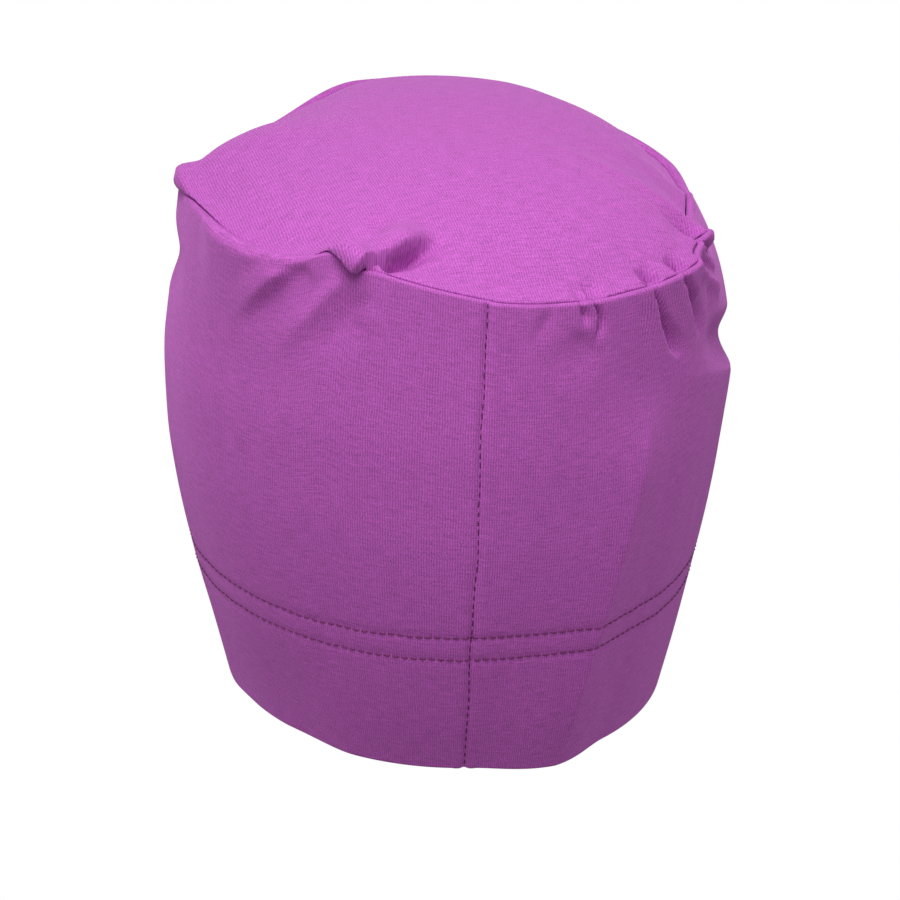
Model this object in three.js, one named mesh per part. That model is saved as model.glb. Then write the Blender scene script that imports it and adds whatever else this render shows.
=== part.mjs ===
// A turban of soft jersey: a round crown panel sewn into a gathered side panel with a turned-up hem.
// It keeps the form that it has when worn. Millimetres, +Z up, front towards -Y, wearer's left at +X.
// The origin is the middle of the head opening, level with the hem's lower edge.
// A place round the head is given as its turn: 0 at the centre back, positive towards -X, in degrees.
import * as THREE from 'three';

const CLOTH = 1.2;             // thickness of the cloth
const GAP = 0.3;               // between layers that lie on each other
const SEAM_GAP = 0.66;         // between the panels where they meet, as the gathers lie askew
const HEM_DEPTH = 58;          // height of the cloth that is turned up inside
const SEAM_ALLOWANCE = 6;      // cloth beyond the crown seam, turned down inside
const WORN_TILT = 8;           // the hem sits higher at the forehead than at the nape
const MM_PER_DEGREE = 1.75;    // length along the wall for one degree of turn
const FRONT_TAPER = 0.07;      // the head is narrower towards the forehead

// The crown seam seen from above, before its table below draws it in or out
const SEAM_OVAL = { side: 92, back: 103, front: 103 };

// Half sizes of the side panel at shares of its height, from the hem to the crown seam
const WALL = [
  { share: 0.00, left: 79.6, right: 78.0, back: 94.0, front: 93.0 },
  { share: 0.12, left: 85.0, right: 82.4, back: 99.5, front: 95.0 },
  { share: 0.26, left: 91.6, right: 87.0, back: 104.0, front: 98.0 },
  { share: 0.42, left: 97.5, right: 92.0, back: 107.5, front: 101.0 },
  { share: 0.53, left: 100.0, right: 94.5, back: 108.5, front: 103.0 },
  { share: 0.66, left: 100.8, right: 96.5, back: 108.5, front: 105.0 },
  { share: 0.80, left: 98.5, right: 96.0, back: 107.3, front: 106.5 },
  { share: 0.92, left: 96.5, right: 95.5, back: 106.0, front: 107.0 },
  { share: 1.00, left: 95.0, right: 95.0, back: 105.5, front: 106.0 },
];

// The crown seam by turn: its height, the radius of the rolled edge outside it, how far it is drawn
// out, and how far the crown's cloth bulges out over it
const SEAM = [
  { turn: -160, height: 187.4, bead: 2.2, reach: -4, lap: 0 },
  { turn: -135, height: 178.0, bead: 2.4, reach: -6, lap: 0 },
  { turn: -112, height: 173.0, bead: 2.0, reach: -5, lap: 0 },
  { turn: -98, height: 176.4, bead: 1.8, reach: -1, lap: 0.8 },
  { turn: -88, height: 178.6, bead: 1.5, reach: 0, lap: 2.2 },
  { turn: -78, height: 178.2, bead: 1.5, reach: 0, lap: 2.4 },
  { turn: -68, height: 177.5, bead: 1.6, reach: 0, lap: 1.2 },
  { turn: -60, height: 175.5, bead: 3.0, reach: 0, lap: 0 },
  { turn: -50, height: 174.0, bead: 3.4, reach: 0, lap: 0 },
  { turn: -42, height: 174.3, bead: 2.8, reach: 0, lap: 0 },
  { turn: -36, height: 176.0, bead: 2.0, reach: 0, lap: 0.2 },
  { turn: -32, height: 179.0, bead: 1.4, reach: 0, lap: 1.4 },
  { turn: -29, height: 180.0, bead: 1.4, reach: 0, lap: 2.0 },
  { turn: -25.5, height: 177.0, bead: 1.4, reach: 0, lap: 2.0 },
  { turn: -21, height: 175.6, bead: 1.4, reach: 0, lap: 1.2 },
  { turn: -17, height: 174.3, bead: 1.4, reach: 0, lap: 0 },
  { turn: -8, height: 171.2, bead: 1.4, reach: 0, lap: 0 },
  { turn: 0, height: 168.5, bead: 1.4, reach: 0, lap: 0 },
  { turn: 4, height: 167.1, bead: 1.4, reach: 0, lap: 0 },
  { turn: 13, height: 166.0, bead: 1.4, reach: 0, lap: 0 },
  { turn: 26, height: 165.6, bead: 1.4, reach: 0.5, lap: 0 },
  { turn: 31, height: 166.2, bead: 1.4, reach: 1.2, lap: 0 },
  { turn: 36, height: 166.9, bead: 1.4, reach: 2.4, lap: 0 },
  { turn: 43, height: 168.0, bead: 1.4, reach: 3.3, lap: 0 },
  { turn: 50, height: 169.6, bead: 1.4, reach: 3.5, lap: 0 },
  { turn: 56, height: 172.6, bead: 1.4, reach: -1.4, lap: 0 },
  { turn: 59, height: 172.6, bead: 1.4, reach: -3.2, lap: 0 },
  { turn: 62.5, height: 173.4, bead: 1.4, reach: -2.6, lap: 0 },
  { turn: 66, height: 172.0, bead: 1.4, reach: -6, lap: 0 },
  { turn: 72, height: 170.5, bead: 1.4, reach: -11, lap: 0 },
  { turn: 80, height: 170.3, bead: 1.4, reach: -12.8, lap: 0 },
  { turn: 89, height: 172.6, bead: 1.4, reach: -12, lap: 0 },
  { turn: 97, height: 170.5, bead: 1.6, reach: -11, lap: 0 },
  { turn: 112, height: 173.0, bead: 2.2, reach: -8, lap: 0 },
  { turn: 135, height: 177.2, bead: 2.4, reach: -5, lap: 0 },
  { turn: 160, height: 185.6, bead: 2.4, reach: -4, lap: 0 },
];

// The crown's dome stands on a sloping plane, and rises over it by a share of this height
const DOME_RISE = 26;
const DOME_PLANE = { middle: 174, frontUp: 8, leftUp: 2 };
const DOME = [
  { out: 0.00, rise: 1.00 },
  { out: 0.25, rise: 0.97 },
  { out: 0.50, rise: 0.86 },
  { out: 0.70, rise: 0.68 },
  { out: 0.85, rise: 0.42 },
  { out: 1.00, rise: 0.00 },
];

// The crown seam draws the side panel in from this share of its height
const DRAWN_FROM = 0.74;

// Gathers pull the crown seam in and run down the side panel as pleats, to a turn and a height. A pleat
// is steep at its left and slow at its right, and widest where it ends. Its line bows to the left. The
// crown sinks into a pocket above it.
const PLEATS = [
  { turn: 14, toTurn: 10, toHeight: 152, bow: 0,
    left: 4, right: 4, grow: 1.4, pull: 0.3, depth: 0.8, pocket: 0 },
  { turn: 22.8, toTurn: 23, toHeight: 152, bow: 0,
    left: 3.4, right: 3.4, grow: 1.6, pull: 1, depth: 3, pocket: 1.2 },
  { turn: 36, toTurn: 47.5, toHeight: 139, bow: 4.2,
    left: 3.4, right: 4.6, grow: 2, pull: 2.2, depth: 4.6, pocket: 3 },
  { turn: 44.4, toTurn: 55.5, toHeight: 143, bow: 2.4,
    left: 3.4, right: 4.6, grow: 2, pull: 2.2, depth: 4.4, pocket: 2.8 },
  { turn: 57.4, toTurn: 70, toHeight: 155, bow: 0,
    left: 3.8, right: 5.4, grow: 1.6, pull: 1.8, depth: 4.2, pocket: 3 },
];
const POCKET = { length: 6, width: 4, turnOn: 2.2 };

// Folds of the side panel, from one turn and height to another. Each spreads to the left and right of
// its line, seen from the back, and is a ridge where it rises and a dent where it sinks. Its line bows
// to the left. It fades over a share of its length at either end, and crest makes its top sharp.
const WALL_FOLDS = [
  { name: 'nape crease', turn: 22.2, height: -4, toTurn: 38, toHeight: 138, bow: 1.6,
    left: 34, right: 26, grow: 1, rise: 4.5, crest: 0.9, fadeIn: 0, fadeOut: 0.25 },
  { name: 'shoulder of the crease', turn: 38, height: 137, toTurn: 88, toHeight: 113, bow: 0,
    left: 16, right: 16, grow: 1, rise: 1, crest: 0.8, fadeIn: 0.3, fadeOut: 0.2 },
  { name: 'flat of the hem', turn: -44, height: -10, toTurn: -46, toHeight: 46, bow: 0,
    left: 34, right: 30, grow: 0.8, rise: -1.9, crest: 0, fadeIn: 0, fadeOut: 0.6 },
  { name: 'left flat of the hem', turn: -62, height: -10, toTurn: -66, toHeight: 30, bow: 0,
    left: 26, right: 26, grow: 0.8, rise: -1.2, crest: 0, fadeIn: 0, fadeOut: 0.6 },
  { name: 'drag ridge', turn: -37, height: 178, toTurn: -50, toHeight: 155, bow: 0,
    left: 8, right: 4, grow: 1.3, rise: 2.2, crest: 0.2, fadeIn: 0.1, fadeOut: 0.6 },
  { name: 'drag dent', turn: -35, height: 172, toTurn: -47, toHeight: 151, bow: 0,
    left: 4, right: 9, grow: 1.3, rise: -1.6, crest: 0.2, fadeIn: 0.1, fadeOut: 0.6 },
  { name: 'second ridge', turn: -26, height: 174, toTurn: -38, toHeight: 146, bow: 0,
    left: 7, right: 7, grow: 1.4, rise: 1.3, crest: 0, fadeIn: 0.2, fadeOut: 0.6 },
  { name: 'second dent', turn: -20, height: 165, toTurn: -29, toHeight: 140, bow: 0,
    left: 7, right: 9, grow: 1.4, rise: -1.3, crest: 0, fadeIn: 0.4, fadeOut: 0.6 },
  { name: 'soft dent below the gathers', turn: 23, height: 157, toTurn: 15, toHeight: 138, bow: 0,
    left: 9, right: 9, grow: 1.6, rise: -1.4, crest: 0, fadeIn: 0.3, fadeOut: 0.8 },
  { name: 'shoulder ridge', turn: 50.5, height: 170, toTurn: 67, toHeight: 151, bow: 0,
    left: 4.5, right: 3, grow: 1.3, rise: 1.4, crest: 0.5, fadeIn: 0.1, fadeOut: 0.4 },
  { name: 'dent beside it', turn: 54, height: 170, toTurn: 68, toHeight: 154, bow: 0,
    left: 3, right: 4, grow: 1.2, rise: -1.8, crest: 0.2, fadeIn: 0.1, fadeOut: 0.5 },
  { name: 'right hollow', turn: 54, height: 142, toTurn: 98, toHeight: 120, bow: 0,
    left: 11, right: 9, grow: 1.2, rise: -4, crest: 0, fadeIn: 0.25, fadeOut: 0.3 },
  { name: 'left hollow', turn: -118, height: 156, toTurn: -72, toHeight: 152, bow: 0,
    left: 14, right: 14, grow: 1, rise: -2.4, crest: 0, fadeIn: 0.3, fadeOut: 0.3 },
];

// Folds of the crown, from one place to another seen from above
const CROWN_FOLDS = [
  { name: 'puff', x: 41, y: 93, toX: 15, toY: 78, bow: 0,
    left: 9, right: 5, grow: 1.2, rise: 4.4, crest: 0, fadeIn: 0, fadeOut: 0.6 },
  { name: 'dent under the puff', x: 34, y: 96, toX: 10, toY: 82, bow: 0,
    left: 4.5, right: 5.5, grow: 1.2, rise: -4.4, crest: 0.2, fadeIn: 0, fadeOut: 0.5 },
  { name: 'left ridge', x: 96, y: 6, toX: 40, toY: -20, bow: 0,
    left: 26, right: 22, grow: 1.3, rise: 3.6, crest: 0, fadeIn: 0, fadeOut: 0.7 },
  { name: 'right dimple', x: -80, y: 50, toX: -62, toY: 44, bow: 0,
    left: 6, right: 6, grow: 1.6, rise: -4.5, crest: 0.3, fadeIn: 0, fadeOut: 0.8 },
];

// Columns round the head are close together where the cloth is gathered
const COLUMNS = [
  { from: -62, to: -40, step: 3.67 },
  { from: -40, to: -17, step: 1.92 },
  { from: -17, to: -3, step: 4.67 },
  { from: -3, to: 3, step: 6 },
  { from: 3, to: 10, step: 3.5 },
  { from: 10, to: 20, step: 2.5 },
  { from: 20, to: 26, step: 1.2 },
  { from: 26, to: 34, step: 2.67 },
  { from: 34, to: 48, step: 1.27 },
  { from: 48, to: 54, step: 2 },
  { from: 54, to: 64, step: 1.67 },
  { from: 64, to: 104, step: 5.7 },
  { from: 104, to: 298, step: 10.2 },
];
const WALL_SHARES = [0, 0.08, 0.16, 0.25, 0.35, 0.46, 0.57, 0.67, 0.75, 0.81, 0.86, 0.9, 0.94, 0.975, 1];
const HEM_ROWS = 3;
const FOLD_STEPS = 2;
const BEAD_STEPS = 3;
const DOME_STARTS = 0.93;
const DOME_SHARES = [0.93, 0.86, 0.78, 0.66, 0.5, 0.28];
const EDGE_STEPS = 3;

const BACK_ALLOWANCE = { turnFrom: -4, turnTo: 4, bottom: 62, top: 156, thickness: 2, gap: 0.33 };

const COLOURS = { crown: '#c870ca', side: '#a455a1', allowance: '#8d478a' };

const radians = THREE.MathUtils.degToRad;
const clamp = THREE.MathUtils.clamp;

// A curve through one column of a table, without overshoot; a period makes it close on itself
function tableCurve(rows, key, value, period = 0) {
  const shifts = period ? [-period, 0, period] : [0];
  const knots = shifts.flatMap((shift) => rows.map((row) => ({ at: row[key] + shift, to: row[value] })));
  const spans = knots.slice(1).map((knot, i) => knot.at - knots[i].at);
  const slopes = spans.map((span, i) => (knots[i + 1].to - knots[i].to) / span);
  const tangents = knots.map((knot, i) => {
    if (i === 0) return slopes[0];
    if (i === knots.length - 1) return slopes[i - 1];
    const before = slopes[i - 1];
    const after = slopes[i];
    if (before * after <= 0) return 0;
    const weightBefore = 2 * spans[i] + spans[i - 1];
    const weightAfter = spans[i] + 2 * spans[i - 1];
    return (weightBefore + weightAfter) / (weightBefore / before + weightAfter / after);
  });
  return (at) => {
    let i = 0;
    while (i < spans.length - 1 && knots[i + 1].at < at) i += 1;
    const span = spans[i];
    const t = (at - knots[i].at) / span;
    const rest = 1 - t;
    return (1 + 2 * t) * rest * rest * knots[i].to + t * rest * rest * span * tangents[i]
      + t * t * (3 - 2 * t) * knots[i + 1].to - t * t * rest * span * tangents[i + 1];
  };
}

const wallHalf = {
  left: tableCurve(WALL, 'share', 'left'),
  right: tableCurve(WALL, 'share', 'right'),
  back: tableCurve(WALL, 'share', 'back'),
  front: tableCurve(WALL, 'share', 'front'),
};
const seamHeight = tableCurve(SEAM, 'turn', 'height', 360);
const seamBead = tableCurve(SEAM, 'turn', 'bead', 360);
const seamReach = tableCurve(SEAM, 'turn', 'reach', 360);
const seamLap = tableCurve(SEAM, 'turn', 'lap', 360);
const domeRise = tableCurve(DOME, 'out', 'rise');

// Rises from 0 to 1 between two values
function smoothStep(from, to, value) {
  const t = clamp((value - from) / (to - from), 0, 1);
  return t * t * (3 - 2 * t);
}

// 1 in the middle and 0 from 1 outwards, round or with a sharp crest
function bump(distance, crest) {
  const d = Math.min(Math.abs(distance), 1);
  return (1 - crest) * (1 - d * d) ** 2 + crest * (1 - d) ** 2;
}

// The shortest way round from one turn to another
function turnGap(from, to) {
  return THREE.MathUtils.euclideanModulo(to - from + 180, 360) - 180;
}

// A point of an egg-shaped oval
function ovalPoint(turn, half) {
  const u = radians(turn);
  const taper = 1 - FRONT_TAPER * Math.max(0, -Math.cos(u)) ** 1.5;
  const x = -(Math.sin(u) > 0 ? half.right : half.left) * Math.sin(u) * taper;
  const y = (Math.cos(u) > 0 ? half.back : half.front) * Math.cos(u);
  return new THREE.Vector3(x, y, 0);
}

// 1 along a pleat's bottom and 0 past its steep left and its slow right
function pleatDepth(pleat, side) {
  return side > 0 ? bump(side / pleat.right, 0.6) : bump(side / pleat.left, 0);
}

// The rolled edge is tighter where a gather pulls it in
function nippedBead(bead, nip) {
  return Math.max(bead * (1 - 0.16 * nip), CLOTH + GAP / 2);
}

// The seam at one turn: its point, the level direction outwards there, and its sizes
function seamAt(turn) {
  const nips = PLEATS.map((pleat) => (
    pleat.pull * pleatDepth(pleat, turnGap(pleat.turn, turn) * MM_PER_DEGREE)));
  const nip = Math.max(...nips);
  const reach = seamReach(turn);
  const u = radians(turn);
  const out = new THREE.Vector3(-Math.sin(u) / SEAM_OVAL.side, Math.cos(u) / SEAM_OVAL.back, 0).normalize();
  const smooth = ovalPoint(turn, {
    left: SEAM_OVAL.side + reach,
    right: SEAM_OVAL.side + reach,
    back: SEAM_OVAL.back + reach,
    front: SEAM_OVAL.front + reach,
  });
  const height = seamHeight(turn);
  const fullBead = seamBead(turn);
  return {
    smooth: smooth.clone().setZ(height),
    point: smooth.clone().addScaledVector(out, -nip).setZ(height - 0.3 * nip),
    out,
    fullBead,
    bead: nippedBead(fullBead, nip),
    lap: seamLap(turn),
  };
}

// Turns from a table of columns, each stretch in equal steps
function columnTurns(columns) {
  return columns.flatMap(({ from, to, step }) => {
    const count = Math.round((to - from) / step);
    return Array.from({ length: count }, (unused, i) => from + (to - from) * i / count);
  });
}

// How far a fold moves the cloth at a place given from the fold's start
function foldMove(fold, across, up, runAcross, runUp) {
  const length = Math.hypot(runAcross, runUp);
  const t = (across * runAcross + up * runUp) / length / length;
  const inside = clamp(t, 0, 1);
  const bow = fold.bow * 4 * inside * (1 - inside);
  const side = (across * runUp - up * runAcross) / length * Math.sign(runUp) + bow;
  const width = (side > 0 ? fold.right : fold.left) * (1 + (fold.grow - 1) * inside);
  const beyond = Math.max(-t, t - 1, 0) * length;
  let along = 1;
  if (fold.fadeIn > 0) along *= smoothStep(0, fold.fadeIn, t);
  if (fold.fadeOut > 0) along *= 1 - smoothStep(1 - fold.fadeOut, 1, t);
  return fold.rise * along * bump(Math.hypot(side, beyond) / width, fold.crest);
}

// Normals of a grid of points, one list of points for each column round the head
function gridNormals(grid) {
  return grid.map((column, i) => {
    const next = grid[(i + 1) % grid.length];
    const before = grid[(i + grid.length - 1) % grid.length];
    return column.map((point, j) => {
      const round = next[j].clone().sub(before[j]);
      const up = column[Math.min(j + 1, column.length - 1)].clone().sub(column[Math.max(j - 1, 0)]);
      return round.cross(up).normalize();
    });
  });
}

// Moves a grid along its normals
function moveGrid(grid, amount) {
  const normals = gridNormals(grid);
  return grid.map((column, i) => column.map((point, j) => (
    point.clone().addScaledVector(normals[i][j], amount(point, i, j)))));
}

// How deep the pleats sink the side panel at a place
function pleatSink(turn, height) {
  return PLEATS.reduce((sum, pleat) => {
    const top = seamHeight(pleat.turn);
    const bead = seamBead(pleat.turn);
    const rim = pleat.pull + 2 * (bead - nippedBead(bead, pleat.pull));
    const across = turnGap(pleat.turn, turn) * MM_PER_DEGREE;
    const up = height - top;
    const runAcross = (pleat.toTurn - pleat.turn) * MM_PER_DEGREE;
    const runUp = pleat.toHeight - top;
    const length = Math.hypot(runAcross, runUp);
    const t = clamp((across * runAcross + up * runUp) / length / length, 0, 1);
    const bow = pleat.bow * 4 * t * (1 - t);
    const side = ((up * runAcross - across * runUp) / length + bow) / (1 + (pleat.grow - 1) * t);
    const depth = rim + (pleat.depth - rim) * smoothStep(0, 0.3, t);
    return sum + depth * (1 - smoothStep(0.35, 1, t)) * pleatDepth(pleat, side);
  }, 0);
}

// The outer face of the side panel from the hem to the seam, with its folds and pleats
function wallFace(turns, seams) {
  const halfAt = (share) => ({
    left: wallHalf.left(share),
    right: wallHalf.right(share),
    back: wallHalf.back(share),
    front: wallHalf.front(share),
  });
  const foldRadius = CLOTH + GAP / 2;
  const plain = turns.map((turn, i) => {
    const seam = seams[i];
    const plainFoot = seam.smooth.clone().addScaledVector(seam.out, 2 * seam.fullBead);
    const drawn = plainFoot.sub(ovalPoint(turn, halfAt(1))).setZ(0);
    return WALL_SHARES.map((share) => {
      const point = ovalPoint(turn, halfAt(share));
      point.addScaledVector(drawn, Math.max((share - DRAWN_FROM) / (1 - DRAWN_FROM), 0) ** 2);
      return point.setZ(foldRadius + (seam.point.z - foldRadius) * share);
    });
  });
  const folded = moveGrid(plain, (point, i) => WALL_FOLDS.reduce((sum, fold) => sum + foldMove(
    fold,
    turnGap(fold.turn, turns[i]) * MM_PER_DEGREE,
    point.z - fold.height,
    (fold.toTurn - fold.turn) * MM_PER_DEGREE,
    fold.toHeight - fold.height,
  ), 0));
  return folded.map((column, i) => {
    const { point: seamPoint, out, bead } = seams[i];
    const sunk = column.map((point, j) => (
      point.addScaledVector(out, -pleatSink(turns[i], plain[i][j].z))));
    // The top edge meets the rolled edge
    sunk[sunk.length - 1].copy(seamPoint).addScaledVector(out, 2 * bead);
    return sunk;
  });
}

// How far in the seam allowance's end hangs at each column, to clear the side panel's pleats there and
// in the columns beside it
function allowanceShifts(seams, wall) {
  const shifts = seams.map((seam, i) => {
    const column = wall[i];
    const height = seam.point.z - SEAM_ALLOWANCE;
    const low = column.findIndex((point) => point.z > height) - 1;
    const part = (height - column[low].z) / (column[low + 1].z - column[low].z);
    const beside = column[low].clone().lerp(column[low + 1], part);
    return Math.max(2 * CLOTH + GAP - beside.sub(seam.point).dot(seam.out), 0);
  });
  const last = shifts.length - 1;
  return shifts.map((shift, i) => (
    Math.max(shift, shifts[i === last ? 0 : i + 1], shifts[i === 0 ? last : i - 1])));
}

// The end of the seam allowance below an edge of cloth
function allowanceEnd(edge, seam, shift) {
  return edge.clone().addScaledVector(seam.out, -shift).setZ(seam.point.z - SEAM_ALLOWANCE);
}

// The whole face of the side panel's cloth: up from the turned-in hem, and over into the seam
function sidePanelFace(turns) {
  const seams = turns.map(seamAt);
  const wall = wallFace(turns, seams);
  const shifts = allowanceShifts(seams, wall);
  const normals = gridNormals(wall);
  const foldRadius = CLOTH + GAP / 2;
  return wall.map((column, i) => {
    const seam = seams[i];
    const hemRows = Array.from({ length: HEM_ROWS }, (unused, k) => {
      const height = HEM_DEPTH * (1 - k / HEM_ROWS);
      const low = column.findIndex((point) => point.z > height) - 1;
      const part = (height - column[low].z) / (column[low + 1].z - column[low].z);
      const outer = column[low].clone().lerp(column[low + 1], part);
      const normal = normals[i][low].clone().lerp(normals[i][low + 1], part).normalize();
      return outer.addScaledVector(normal, -2 * foldRadius);
    });
    const outwards = normals[i][0].clone().setZ(0).normalize();
    const middle = column[0].clone().addScaledVector(outwards, -foldRadius);
    const foldRow = Array.from({ length: FOLD_STEPS + 1 }, (unused, k) => {
      const angle = Math.PI * (1 - k / (FOLD_STEPS + 1));
      const point = middle.clone().addScaledVector(outwards, foldRadius * Math.cos(angle));
      return point.setZ(middle.z - foldRadius * Math.sin(angle));
    });
    const top = column[column.length - 1];
    const width = top.clone().sub(seam.point).setZ(0).length();
    const bead = Array.from({ length: BEAD_STEPS }, (unused, k) => {
      const angle = Math.PI * (k + 1) / BEAD_STEPS;
      const point = seam.point.clone().addScaledVector(seam.out, width / 2 * (1 + Math.cos(angle)));
      return point.setZ(seam.point.z + seam.bead * Math.sin(angle));
    });
    return [...hemRows, ...foldRow, ...column, ...bead, allowanceEnd(seam.point, seam, shifts[i])];
  });
}

// The height of the dome's sloping plane
function planeHeight(point) {
  return DOME_PLANE.middle - DOME_PLANE.frontUp * point.y / SEAM_OVAL.back
    + DOME_PLANE.leftUp * point.x / SEAM_OVAL.side;
}

// A point of the crown, out being its share of the way from the middle to the seam
function domePoint(seam, out) {
  const nearSeam = out ** 16;
  const rim = seam.smooth.clone().lerp(seam.point, nearSeam).addScaledVector(seam.out, -SEAM_GAP);
  const point = rim.clone().multiplyScalar(out);
  const lift = (rim.z - planeHeight(rim)) * out ** 5;
  return point.setZ(planeHeight(point) + DOME_RISE * domeRise(out) + lift);
}

// The crown's cloth bends up out of the seam, clear of the rolled edge, and over to the dome
function crownEdge(seam) {
  const start = seam.point.clone().addScaledVector(seam.out, -SEAM_GAP);
  start.z += seam.bead * clamp(seam.lap, 0, 1);
  const end = domePoint(seam, DOME_STARTS);
  const outwards = end.clone().sub(domePoint(seam, DOME_STARTS - 0.03)).normalize();
  const leave = start.clone().addScaledVector(seam.out, 1.8 * seam.lap);
  leave.z += 2 + 0.6 * seam.lap;
  const arrive = end.clone().addScaledVector(outwards, 3 + seam.lap);
  return new THREE.CubicBezierCurve3(start, leave, arrive, end);
}

// The crown's dents above the pleats, in the form of its other folds
function pockets() {
  return PLEATS.map((pleat) => {
    const { smooth, out } = seamAt(pleat.turn + POCKET.turnOn);
    const end = smooth.clone().addScaledVector(out, -POCKET.length);
    return { x: smooth.x, y: smooth.y, toX: end.x, toY: end.y, bow: 0, left: POCKET.width,
      right: POCKET.width, grow: 1.2, rise: -pleat.pocket, crest: 0.4, fadeIn: 0, fadeOut: 0.8 };
  });
}

function crownFace(turns) {
  const seams = turns.map(seamAt);
  const shifts = allowanceShifts(seams, wallFace(turns, seams));
  const plain = seams.map((seam, i) => {
    const edge = crownEdge(seam).getPoints(EDGE_STEPS + 1).slice(0, -1);
    const allowance = allowanceEnd(edge[0], seam, shifts[i]);
    return [allowance, ...edge, ...DOME_SHARES.map((out) => domePoint(seam, out))];
  });
  const folds = [...CROWN_FOLDS, ...pockets()];
  const edgeRow = EDGE_STEPS + 1;
  const middle = new THREE.Vector3(0, 0, planeHeight(new THREE.Vector3()) + DOME_RISE);
  const folded = moveGrid(plain, (point, i, j) => clamp((j - 1) / edgeRow, 0, 1)
    * folds.reduce((sum, fold) => sum + foldMove(
      fold, point.x - fold.x, point.y - fold.y, fold.toX - fold.x, fold.toY - fold.y), 0));
  return { folded, middle };
}

// A mesh from points and faces, with its own colour
function clothMesh(name, points, faces, colour) {
  const geometry = new THREE.BufferGeometry();
  geometry.setAttribute('position', new THREE.Float32BufferAttribute(points.flatMap((p) => p.toArray()), 3));
  geometry.setIndex(faces.flat());
  geometry.computeVertexNormals();
  const material = new THREE.MeshStandardMaterial({ color: colour, roughness: 0.9, metalness: 0 });
  const mesh = new THREE.Mesh(geometry, material);
  mesh.name = name;
  return mesh;
}

// Faces between neighbouring columns, for point numbers that at(column, row) gives. The faces of one row
// can be parted the other way, like those of a layer that lies against them the other way up.
function gridFaces(columns, rows, at, closedRows, otherWay = -1) {
  const faces = [];
  for (let i = 0; i < columns; i += 1) {
    const next = (i + 1) % columns;
    for (let j = 0; j < (closedRows ? rows : rows - 1); j += 1) {
      const up = (j + 1) % rows;
      if (j === otherWay) {
        faces.push([at(i, j), at(next, j), at(i, up)]);
        faces.push([at(next, j), at(next, up), at(i, up)]);
      } else {
        faces.push([at(i, j), at(next, j), at(next, up)]);
        faces.push([at(i, j), at(next, up), at(i, up)]);
      }
    }
  }
  return faces;
}

// The side panel: a ring of cloth whose section runs along its face and back along its inside
function sidePanel() {
  const turns = columnTurns(COLUMNS);
  const face = sidePanelFace(turns);
  const back = moveGrid(face, () => -CLOTH);
  const sections = face.map((column, i) => [...column, ...back[i].slice().reverse()]);
  const rows = sections[0].length;
  const faces = gridFaces(sections.length, rows, (i, j) => i * rows + j, true);
  return clothMesh('side_panel', sections.flat(), faces, COLOURS.side);
}

// The crown panel: a dome of cloth, closed in the middle by one point on each side
function crownPanel() {
  const { folded, middle } = crownFace(columnTurns(COLUMNS));
  const back = moveGrid(folded, () => -CLOTH);
  const sections = folded.map((column, i) => [...back[i].slice().reverse(), ...column]);
  const rows = sections[0].length;
  const columns = sections.length;
  const allowanceRow = folded[0].length;
  const faces = gridFaces(columns, rows, (i, j) => i * rows + j, false, allowanceRow);
  const points = sections.flat();
  const top = points.push(middle) - 1;
  const under = points.push(middle.clone().setZ(middle.z - CLOTH)) - 1;
  for (let i = 0; i < columns; i += 1) {
    const next = (i + 1) % columns;
    faces.push([i * rows + rows - 1, next * rows + rows - 1, top]);
    faces.push([next * rows, i * rows, under]);
  }
  return clothMesh('crown_panel', points, faces, COLOURS.crown);
}

// The allowance of the centre-back seam: its two edges, turned to one side against the panel's inside
function seamAllowance() {
  const { turnFrom, turnTo, bottom, top, thickness, gap } = BACK_ALLOWANCE;
  const turns = columnTurns(COLUMNS);
  const face = sidePanelFace(turns);
  const rows = face[0].map((point, j) => j).filter((j) => face[0][j].z > bottom && face[0][j].z < top);
  const strip = (depth) => {
    const layer = moveGrid(face, () => -CLOTH - gap - depth);
    const columns = layer.filter((column, i) => turns[i] > turnFrom && turns[i] < turnTo);
    return columns.map((column) => rows.map((j) => column[j]));
  };
  const section = [...strip(0), ...strip(thickness).reverse()];
  const corners = section.length;
  const at = (i, j) => i * rows.length + j;
  const faces = gridFaces(corners, rows.length, at, false);
  for (let i = 1; i < corners - 1; i += 1) {
    faces.push([at(0, 0), at(i + 1, 0), at(i, 0)]);
    faces.push([at(0, rows.length - 1), at(i, rows.length - 1), at(i + 1, rows.length - 1)]);
  }
  return clothMesh('back_seam_allowance', section.flat(), faces, COLOURS.allowance);
}

const turban = new THREE.Group();
turban.add(sidePanel(), crownPanel(), seamAllowance());
turban.rotation.x = -radians(WORN_TILT);

export default turban;
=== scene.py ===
# A turban of soft jersey in the form that it has when worn, seen from behind and a little above.
# Sizes are in millimetres in the turban's own upright frame until place() turns them into the
# frame's metres. A place round the head is its turn: 0 at the centre back, positive towards -X.
import math

import bpy
import numpy as np
from mathutils import Matrix, Vector


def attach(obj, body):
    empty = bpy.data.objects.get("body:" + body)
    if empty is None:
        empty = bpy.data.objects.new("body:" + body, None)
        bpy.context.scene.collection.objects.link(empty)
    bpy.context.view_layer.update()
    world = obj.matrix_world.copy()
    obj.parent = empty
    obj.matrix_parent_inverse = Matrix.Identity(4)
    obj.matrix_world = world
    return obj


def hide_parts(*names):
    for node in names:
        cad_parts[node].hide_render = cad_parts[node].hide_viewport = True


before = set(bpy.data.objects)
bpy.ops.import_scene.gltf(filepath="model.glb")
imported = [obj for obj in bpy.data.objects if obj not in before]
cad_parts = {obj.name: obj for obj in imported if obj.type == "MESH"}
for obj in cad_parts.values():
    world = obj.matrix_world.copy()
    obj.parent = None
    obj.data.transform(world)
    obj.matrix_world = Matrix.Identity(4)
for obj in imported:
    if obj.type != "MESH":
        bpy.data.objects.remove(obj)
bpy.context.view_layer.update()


def table(columns, *rows):
    """Rows with named columns."""
    return [dict(zip(columns.split(), row)) for row in rows]


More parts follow.
